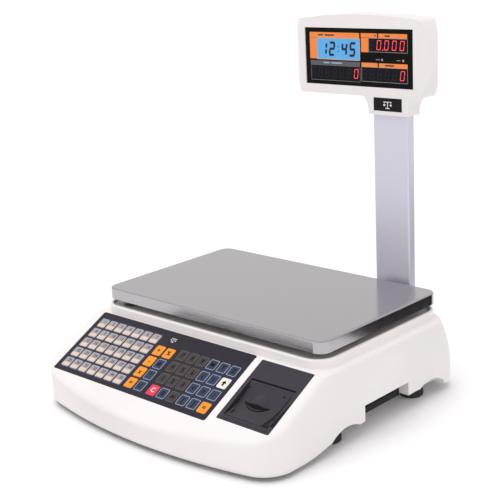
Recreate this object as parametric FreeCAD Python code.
import FreeCAD
import Part
import math
import os

# Retail price scale: weighing platform, sloping keypad deck with a receipt printer,
# and a two-sided display head on a column at the rear right.
# Millimetres. X to the operator's right, Y away from the operator, Z up.
# The origin is on the surface that the feet stand on, under the middle of the whole object.

V = FreeCAD.Vector
X_AXIS = V(1, 0, 0)
Y_AXIS = V(0, 1, 0)
Z_AXIS = V(0, 0, 1)

# Housing
BODY_HALF_W = 200.0
BODY_FRONT = -201.0
BODY_REAR = 185.0
BODY_BOTTOM = 4.0
BODY_TOP = 97.0
FRONT_BOW_R = 743.0
SIDE_LEAN_R = 795.0
REAR_LEAN_R = 135.0
WIDEST_Z = 28.0
WALL = 3.0
FRONT_CORNER_R = 42.0
REAR_CORNER_R = 28.0

# Raised plateau under the pan
PLATEAU_HALF_W = 190.0
PLATEAU_FRONT = -78.0
PLATEAU_REAR = 163.0
PLATEAU_TOP = 109.0
PLATEAU_FLOOR = 105.0
PLATEAU_R = 30.0

# Sloping deck: its upper edge, and its fall towards the front
DECK_EDGE_Y = -81.9
DECK_EDGE_Z = 99.0
DECK_ANGLE = 28.0
DECK_SIN = math.sin(math.radians(DECK_ANGLE))
DECK_COS = math.cos(math.radians(DECK_ANGLE))
DECK_TAN = math.tan(math.radians(DECK_ANGLE))

# Weighing pan
PAN_HALF_W = 185.0
PAN_FRONT = -70.0
PAN_DEPTH = 230.0
PAN_TOP = 130.0
PAN_SKIRT = 15.0
PAN_SHEET = 1.2
PAN_CORNER_R = 14.0
PAN_CENTRE_Y = PAN_FRONT + PAN_DEPTH / 2

# Spirit level under the pan's front left corner
LEVEL_X = -160.0
LEVEL_Y = -48.0

# Keypad, in the deck's own coordinates (x across, y up the slope, z out of it)
KEYPAD_LEFT = -178.4
KEYPAD_W = 274.2
KEYPAD_H = 104.0
OVERLAY_T = 0.8
KEY_EMBOSS = 0.5
KEY_PITCH_Y = 17.75
PLU_COLUMNS = 7
PLU_ROWS = 5
PLU_FIRST_X = -163.6
PLU_PITCH_X = 16.65
PLU_FIRST_Y = -18.3
PLU_KEY = (14.2, 14.6)
FUNCTION_ROWS = 4
# The function keys stand in two groups: column places, first row and row pitch
FUNCTION_GROUPS = (
    ((-43.0, -25.2), -33.4, 18.4),
    ((-3.2, 13.9, 30.8, 48.0, 65.3, 82.4), -30.4, 19.4),
)
FUNCTION_KEY = (14.4, 15.2)

# Printer, in the deck's coordinates
BEZEL_X = (106.6, 185.1)
BEZEL_Y = (-95.0, -3.0)
BEZEL_T = 1.5
DOOR_X = (113.2, 178.6)
DOOR_TOP_Y = -31.6
DOOR_BOTTOM_Y = -87.0
DOOR_T = 2.4
DOOR_GAP = 0.5
HINGE_Y = -34.8
HINGE_Z = -3.4
HINGE_BAR_R = 3.2
HINGE_PIN_R = 1.6
PRINTER_MID_X = 147.2
ROLL_W = 56.0
ROLL_R = 17.5
ROLL_Y = -56.0
ROLL_Z = -25.5
PLATEN_R = 4.5
PLATEN_Y = -81.0
PLATEN_Z = -9.6
SHAFT_R = 1.5
IDLER_PIN_R = 1.5
THUMB_X = 141.0
DOOR_DIP = 4.2

# Paper trough, its cheeks and the wall behind the print head
FRAME_X = (110.4, 181.5)
FRAME_RIM_Z = -10.0
FRAME_FOOT_Z = -33.0
CHEEK_T = 2.2
BUCKET_R = 20.0
TROUGH_T = 2.0
HEAD_WALL_Y = (-91.0, -89.0)

# Paper feed gears. Radii are per tooth; shares are parts of the tooth pitch.
GEAR_X = DOOR_X[0] + 0.3
GEAR_W = 2.4
PLATEN_GEAR_TEETH = 16
IDLER_TEETH = 18
PINION_TEETH = 10
TOOTH_PITCH_R = 0.32
TOOTH_ADDENDUM = 0.3
TOOTH_DEDENDUM = 0.45
TOOTH_TIP_SHARE = 0.09
TOOTH_ROOT_SHARE = 0.24
GEAR_BACKLASH = 0.05
MOTOR_LENGTH = 12.0
MOTOR_R = 7.2
MOTOR_SHAFT_R = 1.0

# Column and display head
COLUMN_X = (81.0, 135.0)
COLUMN_Y = (170.0, 184.0)
COLUMN_WALL = 1.8
COLUMN_BOTTOM = 44.0
COLUMN_TOP = 366.0
COLUMN_MID_X = (COLUMN_X[0] + COLUMN_X[1]) / 2
COLUMN_MID_Y = (COLUMN_Y[0] + COLUMN_Y[1]) / 2
HEAD_MID_X = 60.5
HEAD_FACE_HALF = 91.5
HEAD_BULGE = 15.0
HEAD_FRONT = 165.0
HEAD_REAR = 201.0
HEAD_MID_Y = (HEAD_FRONT + HEAD_REAR) / 2
HEAD_BOTTOM = 368.0
HEAD_SIDE_TOP = 463.5
HEAD_TOP = 469.5
HEAD_WALL = 2.5
NECK_X = (78.0, 138.0)
NECK_BOTTOM = 345.5
NECK_REAR = 191.0
WINDOW_X = (-23.5, 146.5)
WINDOW_Z = (379.7, 452.5)
BADGE_X = (86.2, 129.4)
BADGE_Z = (350.6, 367.3)
HEAD_SCREWS = [(-22.0, 374.5), (143.0, 374.5), (-22.0, 458.0), (143.0, 458.0)]
# Fields of seven-segment digits: middle of the last digit, and how many
DIGIT_FIELDS = ((130.2, 432.4, 5), (58.8, 395.9, 7), (130.3, 395.9, 6))
DIGIT_PITCH = 11.7
DIGIT_BLOCK_HALF_H = 8.2
DIGIT_BLOCK_T = 5.0
# Screws that hold the column: in the housing's socket below, and in the head's neck above
COLUMN_SCREW_X = (95.0, 121.0)
COLUMN_SCREW_Z = 60.0
NECK_SCREW_Z = 355.0

# Feet
FOOT_X = 171.0
FOOT_Y = (-47.0, 120.0)
FOOT_PAD_R = 15.0
FOOT_PAD_H = 12.0
FOOT_STUD_R = 4.0
FOOT_COLLAR_R = 8.0
FOOT_COLLAR_Z = 4.0

# Base tray
TRAY_BOTTOM = 22.0
TRAY_FLOOR = 25.0
# Bosses that the housing screws go up into: place and height of the top
HOUSING_BOSSES = [
    (sx * x, y, top)
    for sx in (-1, 1)
    for x, y, top in ((150.0, -172.0, 50.0), (189.5, -88.0, 95.0), (160.0, 168.0, 95.0))
]

# Port recess in the right-hand wall
PORT_RECESS_Y = (-14.0, 73.0)
PORT_RECESS_TOP = 39.0
PORT_PLATE_X = 186.0
PORT_Z = (25.3, 37.3)
PORTS = {"network_port": (2.0, 18.0), "serial_port": (25.0, 41.0), "drawer_port": (48.0, 60.0)}
LATCH_HALF_W = 1.8

# Mains inlet and its rocker switch, in the rear wall
INLET_Z = 37.5
ROCKER_X = (-97.0, -82.0)
ROCKER_Y = 180.6
ROCKER_REST = 10.0
ROCKER_PIN_R = 1.2

# Chassis frame
RAIL_HALF_W = 13.0
FRAME_TOP = 33.0

# Circuit boards on the tray
BOARD_T = 1.6
MAIN_BOARD_Z = 31.0
BOARD_POSTS = [(x, y) for x in (-160.0, 30.0) for y in (-160.0, -102.0)]
SUPPLY_Z = 31.0
SUPPLY_POSTS = [(x, y) for x in (-140.0, -78.0) for y in (82.0, 142.0)]

# Load cell
CELL_X = (-65.0, 65.0)
CELL_HALF_W = 15.0
CELL_Z = (47.0, 69.0)
# Bolts at each end of the cell: distances in from its end, and either side of its middle
CELL_BOLT_IN = (8.0, 20.0)
CELL_BOLT_Y = (PAN_CENTRE_Y - 8.0, PAN_CENTRE_Y + 8.0)
BOLT_R = 3.0

# Pan support: its arms, and the buffers at their ends
SUPPORT_ARM_Z = (109.0, 116.0)
BUFFER_X = 140.0
BUFFER_Y = 80.0
BUFFER_PLACES = [(sx * BUFFER_X, PAN_CENTRE_Y + sy * BUFFER_Y) for sx in (-1, 1) for sy in (-1, 1)]

# A length that reaches past the whole object, for cutting shapes
FAR = 300.0


# ---------------------------------------------------------------- helpers

def save(node, shape):
    shape.exportStep(os.path.join("parts", node + ".step"))


def box(x0, x1, y0, y1, z0, z1):
    return Part.makeBox(x1 - x0, y1 - y0, z1 - z0, V(x0, y0, z0))


def cylinder(radius, start, axis, length):
    return Part.makeCylinder(radius, length, start, axis)


def ring(outer, inner, start, axis, length):
    return cylinder(outer, start, axis, length).cut(cylinder(inner, start, axis, length))


def line(a, b):
    return Part.LineSegment(a, b).toShape()


def arc(a, mid, b):
    return Part.Arc(a, mid, b).toShape()


def prism(edges, direction):
    return Part.Face(Part.Wire(edges)).extrude(direction)


def polygon_prism(points, direction):
    return Part.Face(Part.makePolygon(points + [points[0]])).extrude(direction)


def union(shapes):
    return shapes[0].multiFuse(shapes[1:]).removeSplitter()


def fillet_where(shape, radius, test):
    return shape.makeFillet(radius, [e for e in shape.Edges if test(e)])


def is_upright(edge):
    bounds = edge.BoundBox
    return bounds.ZLength > 0.5 and bounds.XLength < 0.01 and bounds.YLength < 0.01


def rounded_box(x0, x1, y0, y1, z0, z1, radius):
    return fillet_where(box(x0, x1, y0, y1, z0, z1), radius, is_upright)


def on_deck(shape):
    placed = shape.copy()
    placed.Placement = FreeCAD.Placement(
        V(0, DECK_EDGE_Y, DECK_EDGE_Z), FreeCAD.Rotation(X_AXIS, DECK_ANGLE)
    ).multiply(shape.Placement)
    return placed


def deck_height(y):
    return DECK_EDGE_Z + (y - DECK_EDGE_Y) * DECK_TAN


def screw(head_r, head_h, shank_r, length, position, direction):
    # The position is the seat under the head; the direction is the way the shank points.
    head = cylinder(head_r, position - direction * head_h, direction, head_h)
    shank = cylinder(shank_r, position - direction * (head_h / 2), direction, length + head_h / 2)
    socket = cylinder(head_r * 0.5, position - direction * head_h, direction, head_h * 0.5)
    return head.fuse(shank).cut(socket)


def mesh_distance(first_teeth, second_teeth):
    return (first_teeth + second_teeth) * TOOTH_PITCH_R + GEAR_BACKLASH


# The gear train runs down from the platen, leaning a little towards the front.
TRAIN_LEAN = math.radians(6)
TRAIN_ANGLE = math.atan2(-math.cos(TRAIN_LEAN), -math.sin(TRAIN_LEAN))
IDLER_Y = PLATEN_Y + mesh_distance(PLATEN_GEAR_TEETH, IDLER_TEETH) * math.cos(TRAIN_ANGLE)
IDLER_Z = PLATEN_Z + mesh_distance(PLATEN_GEAR_TEETH, IDLER_TEETH) * math.sin(TRAIN_ANGLE)
PINION_Y = IDLER_Y + mesh_distance(IDLER_TEETH, PINION_TEETH) * math.cos(TRAIN_ANGLE)
PINION_Z = IDLER_Z + mesh_distance(IDLER_TEETH, PINION_TEETH) * math.sin(TRAIN_ANGLE)


def gear(teeth, bore_r, width, centre, tooth_angle):
    # Spur gear with straight-sided teeth, its axis along X. One tooth points along tooth_angle.
    tip_r = teeth * TOOTH_PITCH_R + TOOTH_ADDENDUM
    root_r = teeth * TOOTH_PITCH_R - TOOTH_DEDENDUM
    flanks = (
        (-TOOTH_ROOT_SHARE, root_r),
        (-TOOTH_TIP_SHARE, tip_r),
        (TOOTH_TIP_SHARE, tip_r),
        (TOOTH_ROOT_SHARE, root_r),
    )
    points = []
    for tooth in range(teeth):
        for share, radius in flanks:
            angle = tooth_angle + 2 * math.pi * (tooth + share) / teeth
            points.append(centre + V(0, radius * math.cos(angle), radius * math.sin(angle)))
    blank = polygon_prism(points, V(width, 0, 0))
    return blank.cut(cylinder(bore_r, centre, X_AXIS, width))


# ---------------------------------------------------------------- housing

def leaning(edge, radius, z):
    return edge - (radius - math.sqrt(radius ** 2 - (z - WIDEST_Z) ** 2))


def plan_block(inset, z0, z1):
    half = BODY_HALF_W - inset
    rear = BODY_REAR - inset
    radius = FRONT_BOW_R - inset
    centre_y = BODY_FRONT + FRONT_BOW_R
    corner_y = centre_y - math.sqrt(radius ** 2 - half ** 2)
    a = V(-half, rear, z0)
    b = V(half, rear, z0)
    c = V(half, corner_y, z0)
    d = V(-half, corner_y, z0)
    bow = arc(c, V(0, centre_y - radius, z0), d)
    return prism([line(a, b), line(b, c), bow, line(d, a)], V(0, 0, z1 - z0))


def side_lean_prism(inset, z0, z1):
    half = BODY_HALF_W - inset
    radius = SIDE_LEAN_R - inset

    def point(sign, z):
        return V(sign * leaning(half, radius, z), -FAR, z)

    middle = (z0 + z1) / 2
    edges = [
        line(point(-1, z0), point(1, z0)),
        arc(point(1, z0), point(1, middle), point(1, z1)),
        line(point(1, z1), point(-1, z1)),
        arc(point(-1, z1), point(-1, middle), point(-1, z0)),
    ]
    return prism(edges, V(0, 2 * FAR, 0))


def rear_lean_prism(inset, z0, z1):
    rear = BODY_REAR - inset
    radius = REAR_LEAN_R - inset

    def point(z):
        return V(-FAR, leaning(rear, radius, z), z)

    low = V(-FAR, -FAR, z0)
    high = V(-FAR, -FAR, z1)
    edges = [
        line(low, point(z0)),
        arc(point(z0), point((z0 + z1) / 2), point(z1)),
        line(point(z1), high),
        line(high, low),
    ]
    return prism(edges, V(2 * FAR, 0, 0))


def body_block(inset, z0, z1):
    block = plan_block(inset, z0, z1)
    block = block.common(side_lean_prism(inset, z0, z1))
    block = block.common(rear_lean_prism(inset, z0, z1))
    block = fillet_where(
        block, REAR_CORNER_R - inset, lambda e: e.BoundBox.ZLength > 2 and e.CenterOfMass.y > 100
    )
    return fillet_where(
        block, FRONT_CORNER_R - inset, lambda e: e.BoundBox.ZLength > 2 and e.CenterOfMass.y < -100
    )


def above_deck(depth):
    # Everything above a plane parallel to the deck and the given depth below it.
    drop = depth / DECK_COS
    front = -260.0
    rear = DECK_EDGE_Y + 20
    points = [
        V(-FAR, front, deck_height(front) - drop),
        V(-FAR, rear, deck_height(rear) - drop),
        V(-FAR, rear, 200),
        V(-FAR, front, 200),
    ]
    return polygon_prism(points, V(2 * FAR, 0, 0))


def lies_in_deck(edge):
    span = edge.LastParameter - edge.FirstParameter
    points = [edge.valueAt(edge.FirstParameter + span * k / 4) for k in range(5)]
    return all(abs(p.z - deck_height(p.y)) < 0.02 for p in points)


def lies_in_top(edge):
    return edge.BoundBox.ZMin > BODY_TOP - 0.02 and edge.BoundBox.ZMax < BODY_TOP + 0.02


def housing_outside():
    body = body_block(0, BODY_BOTTOM, BODY_TOP)
    body = fillet_where(body, 8, lambda e: e.BoundBox.ZMax < BODY_BOTTOM + 0.01)
    body = body.cut(above_deck(0))
    body = fillet_where(body, 9, lambda e: lies_in_deck(e) and not lies_in_top(e))
    body = fillet_where(body, 4, lambda e: lies_in_top(e) and not lies_in_deck(e))
    plateau = rounded_box(
        -PLATEAU_HALF_W, PLATEAU_HALF_W, PLATEAU_FRONT, PLATEAU_REAR, BODY_TOP - 10, PLATEAU_TOP, PLATEAU_R
    )
    plateau = fillet_where(plateau, 2, lambda e: e.BoundBox.ZMin > PLATEAU_TOP - 0.01)
    body = body.fuse(plateau)
    body = fillet_where(
        body,
        2.5,
        lambda e: lies_in_top(e) and abs(e.CenterOfMass.x) < PLATEAU_HALF_W + 0.5
        and PLATEAU_FRONT - 0.5 < e.CenterOfMass.y < PLATEAU_REAR + 0.5,
    )
    lip = 4.0
    sunk = rounded_box(
        -PLATEAU_HALF_W + lip,
        PLATEAU_HALF_W - lip,
        PLATEAU_FRONT + lip,
        PLATEAU_REAR - lip,
        PLATEAU_FLOOR,
        PLATEAU_TOP + 5,
        PLATEAU_R - lip,
    )
    return body.cut(sunk)


def housing_inside():
    cavity = body_block(WALL, BODY_BOTTOM - 10, BODY_TOP - WALL).cut(above_deck(WALL))
    rise = rounded_box(
        -PLATEAU_HALF_W + 6,
        PLATEAU_HALF_W - 6,
        PLATEAU_FRONT + 6,
        PLATEAU_REAR - 6,
        BODY_TOP - 20,
        PLATEAU_FLOOR - WALL,
        PLATEAU_R - 6,
    )
    return cavity.fuse(rise)


def foot_arch(y, half, top, spring):
    # A flat-bottomed arch across the whole width, over one pair of feet.
    a = V(-FAR, y - half, -20)
    b = V(-FAR, y - half, spring)
    c = V(-FAR, y + half, spring)
    d = V(-FAR, y + half, -20)
    crown = V(-FAR, y, top)
    return prism([line(a, b), arc(b, crown, c), line(c, d), line(d, a)], V(2 * FAR, 0, 0))


def side_undercut():
    # The side walls rise from the deep front skirt to the middle, with arches over the feet.
    rise = polygon_prism(
        [
            V(-FAR, -130, -20),
            V(-FAR, -130, 4),
            V(-FAR, -82, 14),
            V(-FAR, -10, 20),
            V(-FAR, 92, 22),
            V(-FAR, 150, 12),
            V(-FAR, 150, -20),
        ],
        V(2 * FAR, 0, 0),
    )
    rear_lobe = box(-FAR, FAR, 149, 220, -20, 12)
    front_arch = foot_arch(FOOT_Y[0], 30, 25, 14)
    rear_arch = foot_arch(FOOT_Y[1], 30, 27, 16)
    return union([rise, rear_lobe, front_arch, rear_arch])


def column_socket():
    block = rounded_box(72, 144, 164, 193, 12, BODY_TOP + 1, 6)
    return fillet_where(block, 3, lambda e: e.BoundBox.ZMin > BODY_TOP + 0.9)


def corner_line(sign):
    # Curved parting groove low on each side wall, ahead of the rear corner.
    section = Part.Circle(V(sign * (BODY_HALF_W + 0.2), 100, 52), Y_AXIS, 0.7).toShape()
    route = arc(
        V(sign * (BODY_HALF_W + 0.2), 100, 52),
        V(sign * (BODY_HALF_W + 0.2), 117, 46),
        V(sign * (BODY_HALF_W + 0.2), 128, 32),
    )
    return Part.Wire([route]).makePipeShell([Part.Wire([section])], True, False)


def housing_boss(x, y, top):
    return cylinder(4.5, V(x, y, TRAY_FLOOR + 0.2), Z_AXIS, top - TRAY_FLOOR - 0.2)


def upper_housing():
    shell = housing_outside()
    cavity = housing_inside()
    # Column socket at the rear, and a thick pad for the mains inlet and its switch
    shell = shell.fuse(column_socket())
    keep = [
        column_socket(),
        box(-158, -62, 176, 183, 14, 60),
        box(183.5, 199, PORT_RECESS_Y[0] - 3, PORT_RECESS_Y[1] + 3, 12, PORT_RECESS_TOP + 3),
    ]
    keep += [housing_boss(x, y, top) for x, y, top in HOUSING_BOSSES]
    for piece in keep:
        cavity = cavity.cut(piece)
    shell = shell.cut(cavity)
    cuts = [side_undercut()]
    # Bore for the column tube, and the cable's way into it
    gap = 0.3
    x0, x1 = COLUMN_X[0] - gap, COLUMN_X[1] + gap
    y0, y1 = COLUMN_Y[0] - gap, COLUMN_Y[1] + gap
    cuts.append(rounded_box(x0, x1, y0, y1, COLUMN_BOTTOM, 120, 3))
    cuts.append(box(98, 118, 150, COLUMN_MID_Y + 6, 26, COLUMN_BOTTOM + 1))
    cuts += [cylinder(2.6, V(x, COLUMN_Y[1], COLUMN_SCREW_Z), Y_AXIS, 20) for x in COLUMN_SCREW_X]
    # Port recess: open at the bottom and through to the inside behind the port plate
    cuts.append(box(PORT_PLATE_X, 210, PORT_RECESS_Y[0], PORT_RECESS_Y[1], -5, PORT_RECESS_TOP))
    cuts.append(
        box(180, PORT_PLATE_X + 1, PORT_RECESS_Y[0] + 4, PORT_RECESS_Y[1] - 4, -5, PORT_RECESS_TOP - 1)
    )
    cuts.append(
        box(PORT_PLATE_X - 1.8, PORT_PLATE_X + 1, PORT_RECESS_Y[0], PORT_RECESS_Y[1], -5, PORT_RECESS_TOP)
    )
    # Mains inlet and rocker switch openings
    z = INLET_Z
    cuts.append(rounded_box(-152, -68, 181.5, 200, z - 18, z + 18, 0.5))
    cuts.append(box(-147, -119, 170, 184, z - 10, z + 10))
    cuts.append(box(-100, -79, 170, 184, z - 6.5, z + 6.5))
    # Middle hole for the load riser, and a sight hole for the level
    cuts.append(rounded_box(32, 76, PAN_CENTRE_Y - 22, PAN_CENTRE_Y + 22, 95, 110, 5))
    cuts.append(cylinder(10.2, V(LEVEL_X, LEVEL_Y, 90), Z_AXIS, 20))
    # Keypad pocket and window; printer pocket and opening
    keypad_right = KEYPAD_LEFT + KEYPAD_W
    cuts.append(
        on_deck(rounded_box(KEYPAD_LEFT - 0.2, keypad_right + 0.2, -KEYPAD_H - 0.2, 0.2, -OVERLAY_T, 5, 3))
    )
    cuts.append(on_deck(rounded_box(KEYPAD_LEFT + 4, keypad_right - 4, -KEYPAD_H + 4, -4, -10, 5, 2)))
    x0, x1 = BEZEL_X
    y0, y1 = BEZEL_Y
    cuts.append(on_deck(rounded_box(x0 - 0.2, x1 + 0.2, y0 - 0.2, y1 + 0.2, -BEZEL_T, 5, 2)))
    cuts.append(on_deck(box(x0 + 2.5, x1 - 2.5, y0 + 2.5, y1 - 2.5, -12, 5)))
    cuts += [cylinder(1.6, V(x, y, TRAY_FLOOR), Z_AXIS, 12) for x, y, top in HOUSING_BOSSES]
    cuts += [corner_line(-1), corner_line(1)]
    for cutter in cuts:
        shell = shell.cut(cutter)
    return shell


def base_tray():
    outer = body_block(WALL + 0.6, TRAY_BOTTOM, TRAY_FLOOR + 9)
    inner = body_block(WALL + 2.8, TRAY_FLOOR, TRAY_FLOOR + 12)
    tray = outer.cut(inner)
    cuts = [
        box(70.5, 145.5, 162.5, 200, 0, 60),
        box(PORT_PLATE_X - 3.4, 210, PORT_RECESS_Y[0] - 4, PORT_RECESS_Y[1] + 4, 0, 60),
        box(-159, -61, 175.5, 200, 0, 60),
    ]
    bosses = []
    for x in (-FOOT_X, FOOT_X):
        for y in FOOT_Y:
            cuts.append(cylinder(5.2, V(x, y, 0), Z_AXIS, 60))
    for x, y, top in HOUSING_BOSSES:
        cuts.append(cylinder(2.1, V(x, y, 0), Z_AXIS, 60))
        cuts.append(cylinder(4.8, V(x, y, TRAY_FLOOR), Z_AXIS, 60))
    for k in range(9):
        y = 70 + 6 * k
        cuts.append(box(-60, 60, y, y + 2.5, TRAY_BOTTOM - 1, TRAY_FLOOR + 1))
    for x, y in BOARD_POSTS:
        bosses.append(cylinder(3.2, V(x, y, TRAY_FLOOR - 0.5), Z_AXIS, MAIN_BOARD_Z - TRAY_FLOOR + 0.5))
    for x, y in SUPPLY_POSTS:
        bosses.append(cylinder(3.2, V(x, y, TRAY_FLOOR - 0.5), Z_AXIS, SUPPLY_Z - TRAY_FLOOR + 0.5))
    cuts += [cylinder(1.45, V(x, y, TRAY_FLOOR), Z_AXIS, 12) for x, y in BOARD_POSTS + SUPPLY_POSTS]
    tray = union([tray] + bosses)
    for cutter in cuts:
        tray = tray.cut(cutter)
    return tray


def housing_screws():
    return Part.makeCompound(
        [screw(3.4, 2.4, 1.55, 12, V(x, y, TRAY_BOTTOM), Z_AXIS) for x, y, top in HOUSING_BOSSES]
    )


# ---------------------------------------------------------------- frame and weighing parts

def chassis_frame():
    y0, y1 = FOOT_Y
    pieces = []
    for x in (-FOOT_X, FOOT_X):
        width = RAIL_HALF_W if x < 0 else RAIL_HALF_W - 4.0
        pieces.append(rounded_box(x - 13, x + width, y0 - 14, y1 + 14, TRAY_FLOOR, FRAME_TOP, 6))
        for y in FOOT_Y:
            pieces.append(cylinder(9, V(x, y, TRAY_FLOOR), Z_AXIS, 17))
    middle = PAN_CENTRE_Y
    pieces.append(box(-FOOT_X, FOOT_X, middle - 22, middle + 22, TRAY_FLOOR, FRAME_TOP))
    pieces.append(box(CELL_X[0] - 3, CELL_X[0] + 28, middle - 18, middle + 18, TRAY_FLOOR, CELL_Z[0]))
    frame = union(pieces)
    for x in (-FOOT_X, FOOT_X):
        for y in FOOT_Y:
            frame = frame.cut(cylinder(FOOT_STUD_R + 0.05, V(x, y, 20), Z_AXIS, 30))
    for inward in CELL_BOLT_IN:
        for y in CELL_BOLT_Y:
            frame = frame.cut(cylinder(BOLT_R + 0.1, V(CELL_X[0] + inward, y, 20), Z_AXIS, 40))
    # Waist in the right-hand rail, for the port sockets
    frame = frame.cut(box(PORT_PLATE_X - 17, 190, PORT_RECESS_Y[0] + 10, PORT_RECESS_Y[1] - 9, 20, 60))
    # Lightening windows in the cross beam, clear of the cell's pad
    for x0, x1 in ((-150, -82), (82, 150), (-30, 30)):
        frame = frame.cut(rounded_box(x0, x1, middle - 14, middle + 14, 20, 40, 4))
    return frame


def load_cell():
    middle = PAN_CENTRE_Y
    bar = box(CELL_X[0], CELL_X[1], middle - CELL_HALF_W, middle + CELL_HALF_W, CELL_Z[0], CELL_Z[1])
    height = (CELL_Z[0] + CELL_Z[1]) / 2
    for x in (-13, 13):
        bar = bar.cut(cylinder(8, V(x, middle - 20, height), Y_AXIS, 40))
    bar = bar.cut(box(-13, 13, middle - 20, middle + 20, height - 3, height + 3))
    for inward in CELL_BOLT_IN:
        for x in (CELL_X[0] + inward, CELL_X[1] - inward):
            for y in CELL_BOLT_Y:
                bar = bar.cut(cylinder(BOLT_R + 0.05, V(x, y, 40), Z_AXIS, 40))
    cover = box(-24, 24, middle + CELL_HALF_W, middle + CELL_HALF_W + 1.2, CELL_Z[0] + 3, CELL_Z[1] - 3)
    return bar.fuse(cover)


def load_cell_bolts():
    bolts = []
    for inward in CELL_BOLT_IN:
        for y in CELL_BOLT_Y:
            bolts.append(screw(5, 5, BOLT_R, 32, V(CELL_X[0] + inward, y, CELL_Z[1]), V(0, 0, -1)))
    return Part.makeCompound(bolts)


def pan_support():
    middle = PAN_CENTRE_Y
    riser = rounded_box(36, 65, middle - 15, middle + 15, CELL_Z[1], SUPPORT_ARM_Z[1], 3)
    hub = rounded_box(-72, 72, middle - 30, middle + 30, SUPPORT_ARM_Z[0], SUPPORT_ARM_Z[1], 10)
    hub = hub.cut(rounded_box(-52, 16, middle - 18, middle + 18, 100, 120, 8))
    pieces = [riser, hub]
    arm_start = 48.0
    for x, y in BUFFER_PLACES:
        arm = box(arm_start, math.hypot(BUFFER_X, BUFFER_Y), -8, 8, SUPPORT_ARM_Z[0], SUPPORT_ARM_Z[1])
        arm.rotate(V(0, 0, 0), Z_AXIS, math.degrees(math.atan2(y - middle, x)))
        arm.translate(V(0, middle, 0))
        pieces.append(arm)
        pieces.append(cylinder(13, V(x, y, SUPPORT_ARM_Z[0]), Z_AXIS, SUPPORT_ARM_Z[1] - SUPPORT_ARM_Z[0]))
    support = union(pieces)
    for inward in CELL_BOLT_IN:
        for y in CELL_BOLT_Y:
            support = support.cut(cylinder(BOLT_R + 0.1, V(CELL_X[1] - inward, y, 60), Z_AXIS, 70))
            support = support.cut(cylinder(5.4, V(CELL_X[1] - inward, y, 84), Z_AXIS, 40))
    for x, y in BUFFER_PLACES:
        support = support.cut(cylinder(4.05, V(x, y, 100), Z_AXIS, 20))
    return support


def support_bolts():
    bolts = []
    for inward in CELL_BOLT_IN:
        for y in CELL_BOLT_Y:
            bolts.append(screw(5, 5, BOLT_R, 33, V(CELL_X[1] - inward, y, 84), V(0, 0, -1)))
    return Part.makeCompound(bolts)


def pan_buffers():
    seat = SUPPORT_ARM_Z[1]
    under_pan = PAN_TOP - PAN_SHEET
    buffers = []
    for x, y in BUFFER_PLACES:
        head = Part.makeCone(10, 7, under_pan - seat, V(x, y, seat), Z_AXIS)
        stem = cylinder(4, V(x, y, SUPPORT_ARM_Z[0]), Z_AXIS, seat - SUPPORT_ARM_Z[0] + 1)
        buffers.append(head.fuse(stem))
    return Part.makeCompound(buffers)


def weighing_pan():
    low = PAN_TOP - PAN_SKIRT
    rear = PAN_FRONT + PAN_DEPTH
    outer = rounded_box(-PAN_HALF_W, PAN_HALF_W, PAN_FRONT, rear, low, PAN_TOP, PAN_CORNER_R)
    outer = fillet_where(outer, 2, lambda e: e.BoundBox.ZMin > PAN_TOP - 0.01)
    inner = rounded_box(
        -PAN_HALF_W + PAN_SHEET,
        PAN_HALF_W - PAN_SHEET,
        PAN_FRONT + PAN_SHEET,
        rear - PAN_SHEET,
        low - 5,
        PAN_TOP - PAN_SHEET,
        PAN_CORNER_R - PAN_SHEET,
    )
    return outer.cut(inner)


def level_vial():
    cup = cylinder(10, V(LEVEL_X, LEVEL_Y, 97), Z_AXIS, 9.5)
    flange = cylinder(13, V(LEVEL_X, LEVEL_Y, PLATEAU_FLOOR), Z_AXIS, 1.5)
    well = cylinder(8, V(LEVEL_X, LEVEL_Y, 99), Z_AXIS, 10)
    return cup.fuse(flange).cut(well)


def level_lens():
    lens = cylinder(8, V(LEVEL_X, LEVEL_Y, 103), Z_AXIS, 3.3)
    sphere = Part.makeSphere(40, V(LEVEL_X, LEVEL_Y, 103 + 3.6 - 40 + 0.4))
    bubble = Part.makeSphere(2.6, V(LEVEL_X, LEVEL_Y, 103.6))
    return lens.common(sphere).cut(bubble)


# ---------------------------------------------------------------- feet

def foot_pad(x, y):
    profile = [
        V(0, 0, 0),
        V(FOOT_PAD_R - 1.5, 0, 0),
        V(FOOT_PAD_R, 0, 1.5),
        V(FOOT_PAD_R, 0, 7),
        V(FOOT_PAD_R - 3, 0, FOOT_PAD_H),
        V(0, 0, FOOT_PAD_H),
    ]
    face = Part.Face(Part.makePolygon(profile + [profile[0]]))
    pad = face.revolve(V(0, 0, 0), Z_AXIS, 360)
    pad.translate(V(x, y, 0))
    seat = V(x, y, FOOT_COLLAR_Z)
    return pad.cut(cylinder(FOOT_STUD_R, seat, Z_AXIS, 20)).cut(cylinder(FOOT_COLLAR_R, seat, Z_AXIS, 3))


def foot_stud(x, y):
    seat = V(x, y, FOOT_COLLAR_Z)
    return cylinder(FOOT_STUD_R, seat, Z_AXIS, 33).fuse(cylinder(FOOT_COLLAR_R, seat, Z_AXIS, 3))


def foot_lock_nuts():
    nuts = []
    for x in (-FOOT_X, FOOT_X):
        for y in FOOT_Y:
            centre = V(x, y, 17)
            turns = [math.radians(60 * k) for k in range(6)]
            corners = [centre + V(7.5 * math.cos(turn), 7.5 * math.sin(turn), 0) for turn in turns]
            nut = polygon_prism(corners, V(0, 0, 5))
            nuts.append(nut.cut(cylinder(FOOT_STUD_R + 0.05, V(x, y, 10), Z_AXIS, 20)))
    return Part.makeCompound(nuts)


# ---------------------------------------------------------------- ports and power

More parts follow.
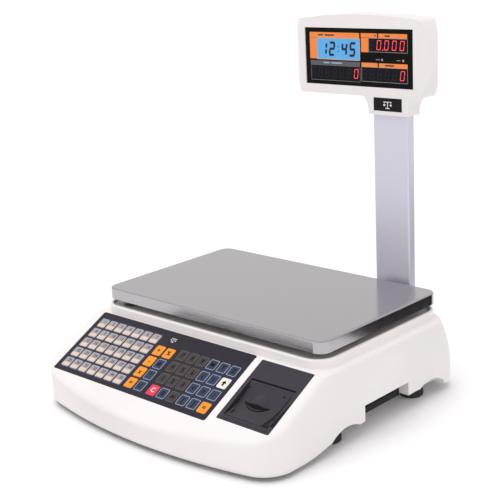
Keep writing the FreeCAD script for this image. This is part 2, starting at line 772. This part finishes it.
def port_plate():
    y0, y1 = PORT_RECESS_Y
    plate = box(PORT_PLATE_X - 1.6, PORT_PLATE_X, y0 + 0.2, y1 - 0.2, 19, PORT_RECESS_TOP - 0.2)
    for y0, y1 in PORTS.values():
        plate = plate.cut(box(180, 190, y0 - 0.2, y1 + 0.2, PORT_Z[0] - 0.2, PORT_Z[1] + 0.2))
    return plate


def socket(y0, y1):
    low, high = PORT_Z
    deep = PORT_PLATE_X - 12
    past = PORT_PLATE_X + 2
    middle = (y0 + y1) / 2
    shell = box(PORT_PLATE_X - 15, PORT_PLATE_X + 0.5, y0, y1, low, high)
    mouth = box(deep, past, y0 + 1.6, y1 - 1.6, low + 1.6, high - 3.6)
    latch = box(deep, past, middle - LATCH_HALF_W, middle + LATCH_HALF_W, high - 3.8, high - 1.4)
    return shell.cut(mouth).cut(latch)


def power_inlet():
    z = INLET_Z
    flange = rounded_box(-150, -116, 181.5, 184, z - 13, z + 13, 0.5)
    body = box(-146.8, -119.2, 166, 182, z - 9.8, z + 9.8)
    well = rounded_box(-143.5, -122.5, 168, 190, z - 7.5, z + 7.5, 1)
    inlet = flange.fuse(body).cut(well)
    pins = [box(x - 1, x + 1, 167, 181, z - 3, z + 3) for x in (-140, -133, -126)]
    return union([inlet] + pins)


def switch_housing():
    z = INLET_Z
    flange = rounded_box(-102.5, -76.5, 181.5, 183.6, z - 8.5, z + 8.5, 0.5)
    body = box(-99.8, -79.2, 166, 182, z - 6.3, z + 6.3)
    well = box(ROCKER_X[0] - 0.5, ROCKER_X[1] + 0.5, 169, 190, z - 5.3, z + 5.3)
    bore = cylinder(ROCKER_PIN_R + 0.05, V(ROCKER_X[0] - 1.8, ROCKER_Y, z), X_AXIS, 18.6)
    return flange.fuse(body).cut(well).cut(bore)


def power_rocker():
    # Seen from the side, two faces meet at a shallow angle over the pivot pins.
    half = 4.4
    centre = V(0, ROCKER_Y, INLET_Z)
    corners = ((2.2, 0.0), (3.4, half), (-4.0, half - 1.2), (-4.0, 1.2 - half), (3.4, -half))
    points = [V(ROCKER_X[0], ROCKER_Y + y, INLET_Z + z) for y, z in corners]
    rocker = polygon_prism(points, V(ROCKER_X[1] - ROCKER_X[0], 0, 0))
    pin = cylinder(ROCKER_PIN_R, V(ROCKER_X[0] - 1.4, ROCKER_Y, INLET_Z), X_AXIS, 17.8)
    rocker = rocker.fuse(pin)
    rocker.rotate(centre, X_AXIS, ROCKER_REST)
    return rocker


def main_board():
    z = MAIN_BOARD_Z
    board = box(-165, 35, -165, -97, z, z + BOARD_T)
    parts = [
        box(-80, -52, -148, -120, z + 1, z + 4),
        box(-40, -26, -146, -124, z + 1, z + 3.4),
        box(-120, -96, -112, -104, z + 1, z + 9),
        box(-20, 8, -112, -104, z + 1, z + 9),
        box(-130, -110, -150, -130, z + 1, z + 5),
    ]
    for x, y, r, h in ((0, -140, 4, 9), (12, -140, 4, 9), (6, -126, 3, 8), (-144, -120, 6, 7)):
        parts.append(cylinder(r, V(x, y, z + 1), Z_AXIS, h))
    board = union([board] + parts)
    for x, y in BOARD_POSTS:
        board = board.cut(cylinder(1.6, V(x, y, z - 1), Z_AXIS, 5))
    return board


def power_supply():
    z = SUPPLY_Z
    board = box(-145, -73, 77, 147, z, z + BOARD_T)
    parts = [
        box(-125, -97, 100, 128, z + 1, z + 24),
        box(-92, -78, 96, 132, z + 1, z + 22),
        box(-134, -120, 82, 96, z + 1, z + 16),
        cylinder(8, V(-111, 88, z + 1), Z_AXIS, 24),
        cylinder(5, V(-88, 88, z + 1), Z_AXIS, 18),
        cylinder(5, V(-132, 136, z + 1), Z_AXIS, 18),
    ]
    board = union([board] + parts)
    for x, y in SUPPLY_POSTS:
        board = board.cut(cylinder(1.6, V(x, y, z - 1), Z_AXIS, 5))
    return board


def board_screws():
    seats = [(x, y, MAIN_BOARD_Z + BOARD_T) for x, y in BOARD_POSTS]
    seats += [(x, y, SUPPLY_Z + BOARD_T) for x, y in SUPPLY_POSTS]
    return Part.makeCompound([screw(2.8, 2, 1.4, 5, V(x, y, z), V(0, 0, -1)) for x, y, z in seats])


# ---------------------------------------------------------------- keypad

def key_places():
    # Centre and size of every key: the price-look-up block, then the function block.
    places = []
    for row in range(PLU_ROWS):
        for column in range(PLU_COLUMNS):
            x = PLU_FIRST_X + PLU_PITCH_X * column
            places.append((x, PLU_FIRST_Y - KEY_PITCH_Y * row, PLU_KEY))
    for columns, first_y, pitch_y in FUNCTION_GROUPS:
        for row in range(FUNCTION_ROWS):
            for x in columns:
                places.append((x, first_y - pitch_y * row, FUNCTION_KEY))
    return places


def keypad_overlay():
    right = KEYPAD_LEFT + KEYPAD_W
    sheet = rounded_box(KEYPAD_LEFT, right, -KEYPAD_H, 0, -OVERLAY_T, 0, 2.8)
    pads = []
    for x, y, (width, height) in key_places():
        pads.append(
            rounded_box(x - width / 2, x + width / 2, y - height / 2, y + height / 2, -0.2, KEY_EMBOSS, 1.2)
        )
    return on_deck(union([sheet] + pads))


def keypad_board():
    right = KEYPAD_LEFT + KEYPAD_W
    board = box(KEYPAD_LEFT + 5.2, right - 5.2, -KEYPAD_H + 5.2, -5.2, -3.6, -2.0)
    domes = [cylinder(5, V(x, y, -2.2), Z_AXIS, 1.4) for x, y, size in key_places()]
    connector = box(-50, -20, -60, -52, -9, -3)
    return on_deck(union([board, connector] + domes))


# ---------------------------------------------------------------- printer

def printer_bezel():
    plate = rounded_box(BEZEL_X[0], BEZEL_X[1], BEZEL_Y[0], BEZEL_Y[1], -BEZEL_T, 0.3, 1.8)
    plate = fillet_where(plate, 0.25, lambda e: e.BoundBox.ZMin > 0.29)
    skirt = box(BEZEL_X[0] + 2.7, BEZEL_X[1] - 2.7, BEZEL_Y[0] + 2.7, BEZEL_Y[1] - 2.7, -10, -0.5)
    bezel = plate.fuse(skirt)
    gap = DOOR_GAP
    opening = box(DOOR_X[0] - gap, DOOR_X[1] + gap, DOOR_BOTTOM_Y - gap, DOOR_TOP_Y + gap, -20, 5)
    under_top = box(DOOR_X[0] - gap, DOOR_X[1] + gap, DOOR_BOTTOM_Y - gap, BEZEL_Y[1] - 5, -20, -2.2)
    under_bottom = box(DOOR_X[0] - gap, DOOR_X[1] + gap, BEZEL_Y[0] + 4.2, DOOR_TOP_Y, -20, -2.2)
    bezel = bezel.cut(opening).cut(under_top).cut(under_bottom)
    ears = []
    for x0, x1 in ((DOOR_X[0] - gap - 3.2, DOOR_X[0] - gap), (DOOR_X[1] + gap, DOOR_X[1] + gap + 3.2)):
        ears.append(box(x0, x1, HINGE_Y - 4, HINGE_Y + 6, -10, -0.5))
    bezel = union([bezel] + ears)
    return on_deck(bezel.cut(cylinder(HINGE_PIN_R + 0.05, V(100, HINGE_Y, HINGE_Z), X_AXIS, 90)))


def door_plate():
    # A dished plate: level with the deck at both ends and sunk in its middle.
    x0, x1 = DOOR_X
    far = HINGE_Y
    near = DOOR_BOTTOM_Y
    dip = DOOR_DIP
    middle = far - 17.0
    top = HINGE_Z + HINGE_BAR_R
    outline = [
        line(V(x0, far, top), V(x0, far, HINGE_Z - HINGE_BAR_R + 1)),
        arc(V(x0, far, HINGE_Z - HINGE_BAR_R + 1), V(x0, middle, -dip - DOOR_T), V(x0, near, -DOOR_T)),
        line(V(x0, near, -DOOR_T), V(x0, near, 0)),
        arc(V(x0, near, 0), V(x0, middle, -dip), V(x0, far, top)),
    ]
    return prism(outline, V(x1 - x0, 0, 0))


def thumb_swelling():
    # Low dome above the thumb pocket, cut off along the pocket's upper edge
    dome = Part.makeSphere(34, V(THUMB_X, -55, -35.6))
    return dome.common(box(THUMB_X - 24, THUMB_X + 24, -61.5, -40, -5.4, 5))


def thumb_pocket():
    # Crescent pocket: a shallow upper edge and a deep lower one
    floor = 0.2 - DOOR_DIP
    left = V(THUMB_X - 20, -60.2, floor)
    right = V(THUMB_X + 20, -60.2, floor)
    upper = arc(left, V(THUMB_X, -62.4, floor), right)
    lower = arc(right, V(THUMB_X, -70.4, floor), left)
    return prism([upper, lower], V(0, 0, 10))


def paper_door():
    plate = door_plate()
    door = plate.fuse(thumb_swelling()).cut(thumb_pocket())
    hinge_bar = cylinder(HINGE_BAR_R, V(DOOR_X[0], HINGE_Y, HINGE_Z), X_AXIS, DOOR_X[1] - DOOR_X[0])
    pin = cylinder(HINGE_PIN_R, V(DOOR_X[0] - 4, HINGE_Y, HINGE_Z), X_AXIS, DOOR_X[1] - DOOR_X[0] + 8)
    pieces = [door, hinge_bar, pin]
    # Arms that hold the platen's shaft under the door's near edge
    for x in (DOOR_X[0] + 3.2, DOOR_X[1] - 3.0):
        arm = box(x, x + 2.4, PLATEN_Y - 4, PLATEN_Y + 5, PLATEN_Z - 3.4, -1)
        pieces.append(arm)
    door = union(pieces)
    bore = cylinder(SHAFT_R + 0.05, V(100, PLATEN_Y, PLATEN_Z), X_AXIS, 90)
    return on_deck(door.cut(bore))


def platen_shaft():
    return on_deck(cylinder(SHAFT_R, V(GEAR_X, PLATEN_Y, PLATEN_Z), X_AXIS, DOOR_X[1] - 0.4 - GEAR_X))


def platen_roller():
    start = V(DOOR_X[0] + 6, PLATEN_Y, PLATEN_Z)
    return on_deck(ring(PLATEN_R, SHAFT_R, start, X_AXIS, DOOR_X[1] - DOOR_X[0] - 9.4))


def platen_gear():
    centre = V(GEAR_X, PLATEN_Y, PLATEN_Z)
    return on_deck(gear(PLATEN_GEAR_TEETH, SHAFT_R, GEAR_W, centre, TRAIN_ANGLE))


def idler_gear():
    # Turned by half a tooth, so that its gaps meet the platen gear's and the pinion's teeth
    half_tooth = math.pi / IDLER_TEETH
    centre = V(GEAR_X, IDLER_Y, IDLER_Z)
    return on_deck(gear(IDLER_TEETH, IDLER_PIN_R + 0.05, GEAR_W, centre, TRAIN_ANGLE + half_tooth))


def motor_pinion():
    pinion = gear(PINION_TEETH, 0.2, GEAR_W, V(GEAR_X, PINION_Y, PINION_Z), TRAIN_ANGLE + math.pi)
    shaft = cylinder(MOTOR_SHAFT_R, V(GEAR_X + GEAR_W, PINION_Y, PINION_Z), V(-1, 0, 0), 13)
    return on_deck(pinion.fuse(shaft))


def printer_frame():
    # Trough for the paper roll, closed by two cheeks, with a wall that carries the print head.
    x0, x1 = FRAME_X
    inner = x1 - x0 - 2 * CHEEK_T
    top = FRAME_RIM_Z
    foot = FRAME_FOOT_Z
    trough = cylinder(BUCKET_R + TROUGH_T, V(x0, ROLL_Y, ROLL_Z), X_AXIS, x1 - x0)
    trough = trough.cut(cylinder(BUCKET_R, V(x0 + CHEEK_T, ROLL_Y, ROLL_Z), X_AXIS, inner))
    trough = trough.cut(box(x0 - 1, x1 + 1, ROLL_Y - 40, ROLL_Y + 40, ROLL_Z + 4, 20))
    trough = trough.cut(box(x0 + CHEEK_T, GEAR_X + GEAR_W + 0.6, HEAD_WALL_Y[0], ROLL_Y - 14, -36, 0))
    back = ROLL_Y + BUCKET_R
    pieces = [trough, box(x0, x1, back, back + TROUGH_T, ROLL_Z, top)]
    for x in (x0, x1 - CHEEK_T):
        pieces.append(box(x, x + CHEEK_T, HEAD_WALL_Y[0], back + TROUGH_T, ROLL_Z, top))
        pieces.append(box(x, x + CHEEK_T, HEAD_WALL_Y[0], ROLL_Y - BUCKET_R + 4, foot, ROLL_Z))
    pieces.append(box(x0, x1, HEAD_WALL_Y[0], HEAD_WALL_Y[1], foot, top))
    pieces.append(box(122, x1, HEAD_WALL_Y[0], ROLL_Y - BUCKET_R - 1, -27.5, -25.5))
    pin_start = V(x0 + 0.5, IDLER_Y, IDLER_Z)
    pieces.append(cylinder(IDLER_PIN_R, pin_start, X_AXIS, GEAR_X + GEAR_W + 0.4 - pin_start.x))
    frame = union(pieces)
    return on_deck(frame.cut(cylinder(1.3, V(x0 - 1, PINION_Y, PINION_Z), X_AXIS, CHEEK_T + 2)))


def paper_roll():
    start = V(PRINTER_MID_X - ROLL_W / 2, ROLL_Y, ROLL_Z)
    return on_deck(ring(ROLL_R, 6.5, start, X_AXIS, ROLL_W))


def print_head():
    x0, x1 = FRAME_X[0] + 6.5, FRAME_X[1] - 3
    sink = box(x0, x1, HEAD_WALL_Y[1], -86.6, -24.0, -4)
    heater = box(x0 + 3, x1 - 4, -86.6, PLATEN_Y - PLATEN_R - 0.4, -16, -7)
    return on_deck(sink.fuse(heater))


def tear_bar():
    x0, x1 = DOOR_X
    teeth = []
    count = 44
    pitch = (x1 - x0) / count
    for k in range(count):
        teeth.append(V(x0 + pitch * k, 0, 0))
        teeth.append(V(x0 + pitch * (k + 0.5), 1.0, 0))
    outline = [V(x0, -3.0, 0)] + teeth + [V(x1, 0, 0), V(x1, -3.0, 0)]
    bar = polygon_prism(outline, V(0, 0, 0.5))
    bar.translate(V(0, -88.9, 0.3))
    return on_deck(bar)


def feed_motor():
    # Small stepping motor outside the left cheek, its shaft passing through to the pinion.
    start = V(FRAME_X[0] - MOTOR_LENGTH, PINION_Y, PINION_Z)
    can = cylinder(MOTOR_R, start, X_AXIS, MOTOR_LENGTH)
    bore = cylinder(MOTOR_SHAFT_R + 0.05, V(start.x + 1, PINION_Y, PINION_Z), X_AXIS, MOTOR_LENGTH)
    return on_deck(can.cut(bore))


# ---------------------------------------------------------------- column

def column_tube():
    outer = rounded_box(
        COLUMN_X[0], COLUMN_X[1], COLUMN_Y[0], COLUMN_Y[1], COLUMN_BOTTOM + 0.3, COLUMN_TOP, 2.6
    )
    wall = COLUMN_WALL
    inner = rounded_box(
        COLUMN_X[0] + wall,
        COLUMN_X[1] - wall,
        COLUMN_Y[0] + wall,
        COLUMN_Y[1] - wall,
        COLUMN_BOTTOM - 5,
        COLUMN_TOP + 5,
        1.0,
    )
    tube = outer.cut(inner)
    for x in COLUMN_SCREW_X:
        tube = tube.cut(cylinder(2.6, V(x, COLUMN_Y[1] - 4, COLUMN_SCREW_Z), Y_AXIS, 8))
        tube = tube.cut(cylinder(2.1, V(x, COLUMN_Y[1] - 4, NECK_SCREW_Z), Y_AXIS, 8))
    return tube


def column_bracket():
    # Steel tongue inside the foot of the tube, with two threaded holes for the column screws.
    tongue = []
    for x0, x1 in ((84, 99), (117, 132)):
        tongue.append(box(x0, x1, 176.2, 182.1, COLUMN_BOTTOM + 0.4, 78))
    bridge = box(84, 132, 179.6, 182.1, COLUMN_BOTTOM + 20, 78)
    plate = union(tongue + [bridge])
    for x in COLUMN_SCREW_X:
        plate = plate.cut(cylinder(2.5, V(x, 170, COLUMN_SCREW_Z), Y_AXIS, 20))
    return plate


def column_screws():
    return Part.makeCompound(
        [screw(4.4, 3, 2.5, 14, V(x, 193, COLUMN_SCREW_Z), V(0, -1, 0)) for x in COLUMN_SCREW_X]
    )


def display_cable():
    x = COLUMN_MID_X
    radius = 1.9
    bend = 12.0
    start = V(x, 128, 34)
    low = V(x, COLUMN_MID_Y, 34)
    before = V(x, low.y - bend, 34)
    after = V(x, low.y, 34 + bend)
    knee = V(x, low.y - bend * (1 - math.sin(math.pi / 4)), 34 + bend * (1 - math.cos(math.pi / 4)))
    end = V(x, COLUMN_MID_Y, 386)
    path = Part.Wire([line(start, before), arc(before, knee, after), line(after, end)])
    section = Part.Wire([Part.Circle(start, Y_AXIS, radius).toShape()])
    return path.makePipeShell([section], True, False)


# ---------------------------------------------------------------- display head

def head_outline(inset, y0, y1):
    # Front view of the head: bulging sides, a gently bowed top and a flat bottom.
    half = HEAD_FACE_HALF + HEAD_BULGE - inset
    corner = HEAD_FACE_HALF + 2.5 - inset
    low = HEAD_BOTTOM + inset
    side_top = HEAD_SIDE_TOP - inset
    middle_z = (low + side_top) / 2

    def point(x, z):
        return V(HEAD_MID_X + x, y0, z)

    edges = [
        line(point(-corner, low), point(corner, low)),
        arc(point(corner, low), point(half, middle_z), point(corner, side_top)),
        arc(point(corner, side_top), point(0, HEAD_TOP - inset), point(-corner, side_top)),
        arc(point(-corner, side_top), point(-half, middle_z), point(-corner, low)),
    ]
    block = prism(edges, V(0, y1 - y0, 0))
    return fillet_where(
        block, 6 - inset / 2, lambda e: e.BoundBox.YLength > 5 and e.BoundBox.XLength < 0.01
        and e.BoundBox.ZLength < 0.01
    )


def head_plan(inset, z0, z1):
    half = HEAD_FACE_HALF - inset * 0.3
    tip = HEAD_FACE_HALF + HEAD_BULGE - inset
    front = HEAD_FRONT + inset
    rear = HEAD_REAR - inset

    def point(x, y):
        return V(HEAD_MID_X + x, y, z0)

    edges = [
        line(point(-half, front), point(half, front)),
        arc(point(half, front), point(tip, HEAD_MID_Y), point(half, rear)),
        line(point(half, rear), point(-half, rear)),
        arc(point(-half, rear), point(-tip, HEAD_MID_Y), point(-half, front)),
    ]
    return prism(edges, V(0, 0, z1 - z0))


def neck(inset, top):
    x0, x1 = NECK_X[0] + inset, NECK_X[1] - inset
    low = NECK_BOTTOM - (2 if inset else 0)
    y0 = HEAD_FRONT + inset
    knee = NECK_BOTTOM + 6

    def point(x, z):
        return V(x, y0, z)

    edges = [
        line(point(x0, low), point(x1, low)),
        line(point(x1, low), point(x1, knee)),
        arc(point(x1, knee), point(x1 + 3, HEAD_BOTTOM - 7), point(x1 + 11, HEAD_BOTTOM + 3)),
        line(point(x1 + 11, HEAD_BOTTOM + 3), point(x1 + 11, top)),
        line(point(x1 + 11, top), point(x0 - 12, top)),
        line(point(x0 - 12, top), point(x0 - 12, HEAD_BOTTOM + 3)),
        arc(point(x0 - 12, HEAD_BOTTOM + 3), point(x0 - 3, HEAD_BOTTOM - 7), point(x0, knee)),
        line(point(x0, knee), point(x0, low)),
    ]
    return prism(edges, V(0, NECK_REAR - HEAD_FRONT - 2 * inset, 0))


def head_solid():
    body = head_outline(0, HEAD_FRONT - 5, HEAD_REAR + 5).common(head_plan(0, 340, 480))
    return body.fuse(neck(0, HEAD_BOTTOM + 8)).removeSplitter()


def head_hollow():
    wall = HEAD_WALL
    body = head_outline(wall, HEAD_FRONT - 5, HEAD_REAR + 5).common(head_plan(wall, 340, 480))
    return body.fuse(neck(wall, HEAD_BOTTOM + 8))


def window_opening(y0, y1):
    return box(WINDOW_X[0], WINDOW_X[1], y0, y1, WINDOW_Z[0], WINDOW_Z[1])


def head_shell():
    shell = head_solid().cut(head_hollow())
    posts = []
    for x, z in HEAD_SCREWS:
        posts.append(cylinder(3.6, V(x, HEAD_FRONT + 1, z), Y_AXIS, HEAD_REAR - HEAD_FRONT - 2))
    for x in COLUMN_SCREW_X:
        posts.append(cylinder(4.2, V(x, COLUMN_Y[1] + 0.2, NECK_SCREW_Z), Y_AXIS, 5))
    shell = union([shell] + posts)
    cuts = [
        window_opening(HEAD_FRONT - 1, HEAD_FRONT + 3.6),
        window_opening(HEAD_REAR - 3.6, HEAD_REAR + 1),
    ]
    for x, z in HEAD_SCREWS:
        cuts.append(cylinder(1.4, V(x, HEAD_MID_Y - 10, z), Y_AXIS, 40))
        cuts.append(cylinder(2.9, V(x, HEAD_REAR - 3, z), Y_AXIS, 10))
    for x in COLUMN_SCREW_X:
        cuts.append(cylinder(2.1, V(x, COLUMN_Y[1], NECK_SCREW_Z), Y_AXIS, 20))
    cuts.append(box(BADGE_X[0], BADGE_X[1], HEAD_FRONT - 1, HEAD_FRONT + 0.8, BADGE_Z[0], BADGE_Z[1]))
    for cutter in cuts:
        shell = shell.cut(cutter)
    return shell


def head_front_shell():
    return head_shell().common(box(-100, 250, 100, HEAD_MID_Y, 300, 500))


def head_rear_shell():
    return head_shell().common(box(-100, 250, HEAD_MID_Y, 260, 300, 500))


def badge_plate():
    gap = 0.15
    x0, x1 = BADGE_X[0] + gap, BADGE_X[1] - gap
    return box(x0, x1, HEAD_FRONT - 0.2, HEAD_FRONT + 0.8, BADGE_Z[0] + gap, BADGE_Z[1] - gap)


def window(y0):
    gap = 0.2
    x0, x1 = WINDOW_X[0] + gap, WINDOW_X[1] - gap
    return box(x0, x1, y0, y0 + 2, WINDOW_Z[0] + gap, WINDOW_Z[1] - gap)


def display_board(y0, connector_y0, connector_y1):
    board = box(-19, 142, y0, y0 + BOARD_T, WINDOW_Z[0] + 1, WINDOW_Z[1] - 1)
    connector = box(98, 118, connector_y0, connector_y1, 387, 393)
    return board.fuse(connector)


def digit_blocks(y0, mirrored):
    # Seven-segment modules, each one digit wide. The rear ones are mirrored to read correctly there.
    half_w = DIGIT_PITCH / 2 - 0.1
    modules = []
    for last_x, centre_z, count in DIGIT_FIELDS:
        for place in range(count):
            x = last_x - DIGIT_PITCH * place
            if mirrored:
                x = WINDOW_X[0] + WINDOW_X[1] - x
            low, high = centre_z - DIGIT_BLOCK_HALF_H, centre_z + DIGIT_BLOCK_HALF_H
            modules.append(box(x - half_w, x + half_w, y0, y0 + DIGIT_BLOCK_T, low, high))
    return Part.makeCompound(modules)


def lcd_module():
    return box(-5, 65, HEAD_FRONT + 3.4, HEAD_FRONT + 8.4, 410.5, 441)


def head_screws():
    return Part.makeCompound(
        [screw(2.7, 2, 1.35, 14, V(x, HEAD_REAR - 3, z), V(0, -1, 0)) for x, z in HEAD_SCREWS]
    )


# ---------------------------------------------------------------- all nodes

NODES = {
    "upper_housing": upper_housing,
    "base_tray": base_tray,
    "housing_screws": housing_screws,
    "chassis_frame": chassis_frame,
    "load_cell": load_cell,
    "load_cell_bolts": load_cell_bolts,
    "pan_support": pan_support,
    "support_bolts": support_bolts,
    "pan_buffers": pan_buffers,
    "weighing_pan": weighing_pan,
    "level_vial": level_vial,
    "level_lens": level_lens,
    "foot_lock_nuts": foot_lock_nuts,
    "port_plate": port_plate,
    "power_inlet": power_inlet,
    "switch_housing": switch_housing,
    "power_rocker": power_rocker,
    "main_board": main_board,
    "power_supply": power_supply,
    "board_screws": board_screws,
    "keypad_overlay": keypad_overlay,
    "keypad_board": keypad_board,
    "printer_bezel": printer_bezel,
    "printer_frame": printer_frame,
    "paper_door": paper_door,
    "platen_shaft": platen_shaft,
    "platen_roller": platen_roller,
    "platen_gear": platen_gear,
    "idler_gear": idler_gear,
    "motor_pinion": motor_pinion,
    "feed_motor": feed_motor,
    "print_head": print_head,
    "tear_bar": tear_bar,
    "paper_roll": paper_roll,
    "column_tube": column_tube,
    "column_bracket": column_bracket,
    "column_screws": column_screws,
    "display_cable": display_cable,
    "head_front_shell": head_front_shell,
    "head_rear_shell": head_rear_shell,
    "badge_plate": badge_plate,
    "lcd_module": lcd_module,
    "head_screws": head_screws,
}


def write_all():
    os.makedirs("parts", exist_ok=True)
    for node, make in NODES.items():
        save(node, make())
    for node, (y0, y1) in PORTS.items():
        save(node, socket(y0, y1))
    save("operator_digits", digit_blocks(HEAD_FRONT + 3.4, False))
    save("customer_digits", digit_blocks(HEAD_REAR - 8.4, True))
    save("operator_window", window(HEAD_FRONT + 1.0))
    save("customer_window", window(HEAD_REAR - 3.0))
    save("operator_board", display_board(HEAD_FRONT + 8.4, HEAD_FRONT + 10, HEAD_FRONT + 15))
    save("customer_board", display_board(HEAD_REAR - 10.0, HEAD_REAR - 14, HEAD_REAR - 10))
    for y, row in zip(FOOT_Y, ("front", "rear")):
        for x, side in ((-FOOT_X, "left"), (FOOT_X, "right")):
            save("foot_pad_%s_%s" % (row, side), foot_pad(x, y))
            save("foot_stud_%s_%s" % (row, side), foot_stud(x, y))


write_all()
